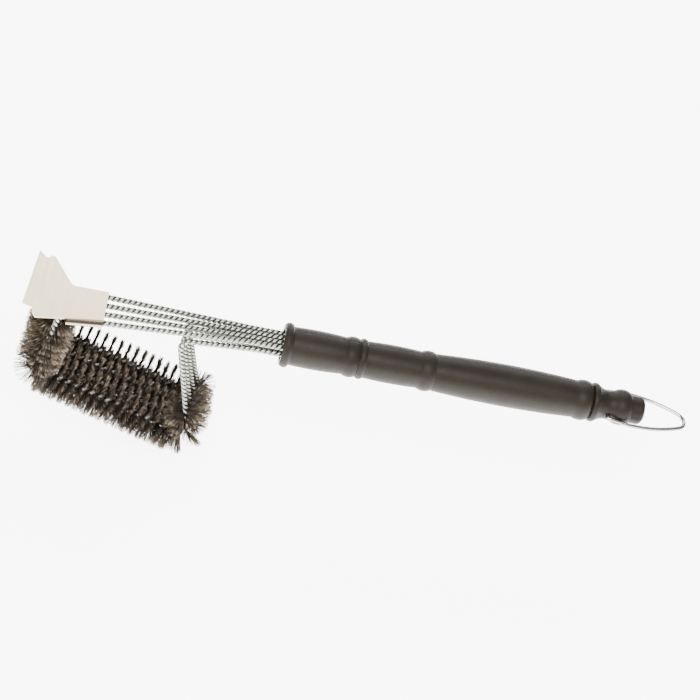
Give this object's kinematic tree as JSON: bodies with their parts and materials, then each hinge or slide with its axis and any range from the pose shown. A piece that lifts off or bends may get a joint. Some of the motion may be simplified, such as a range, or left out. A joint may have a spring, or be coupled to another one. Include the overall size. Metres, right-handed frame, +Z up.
{
  "type": "grill cleaning brush",
  "caption": "Grill cleaning brush with twisted-wire bristle loops under a flat scraper blade, a beaded handle and a swinging wire hanging loop.",
  "frame": {"origin": "centre of the flat butt at the end of the handle, on the handle's axis", "axes": "+X out of the butt, from the head towards the butt along the handle; +Z up, the scraper side, with the bristle rows below; +Y across the head, towards the blade's long corner"},
  "size_m": [0.4733, 0.0792, 0.1213],
  "materials": {
    "blade_steel": "satin sheet steel, fine brushed grain",
    "twisted_wire": "bright drawn wire, twisted, darker in the grooves",
    "bristle": "dark brown fine wire filaments, paler at the tips",
    "handle_plastic": "dark warm grey moulded plastic with a soft sheen",
    "loop_steel": "polished wire",
    "plug_plastic": "plain moulded plastic",
    "band_steel": "plain crimped strip"
  },
  "bodies": {
    "brush": {"scraper": "blade_steel", "wire_loop_1": "twisted_wire", "wire_loop_2": "twisted_wire", "wire_loop_3": "twisted_wire", "wire_loop_4": "twisted_wire", "front_bristles_1": "bristle", "front_bristles_2": "bristle", "front_bristles_3": "bristle", "front_bristles_4": "bristle", "row_bristles_1": "bristle", "row_bristles_2": "bristle", "row_bristles_3": "bristle", "row_bristles_4": "bristle", "rear_bristles_1": "bristle", "rear_bristles_2": "bristle", "rear_bristles_3": "bristle", "rear_bristles_4": "bristle", "handle_body": "handle_plastic", "end_cap": "handle_plastic", "strand_plug": "plug_plastic", "crimp_band": "band_steel"},
    "loop": {"hanging_loop": "loop_steel"}
  },
  "joints": [
    {"name": "loop_swing", "type": "hinge", "parent": "brush", "child": "loop", "pos_m": [-0.026, 0, 0], "axis": [0, 1, 0], "range_deg": [-150, 140]}
  ]
}
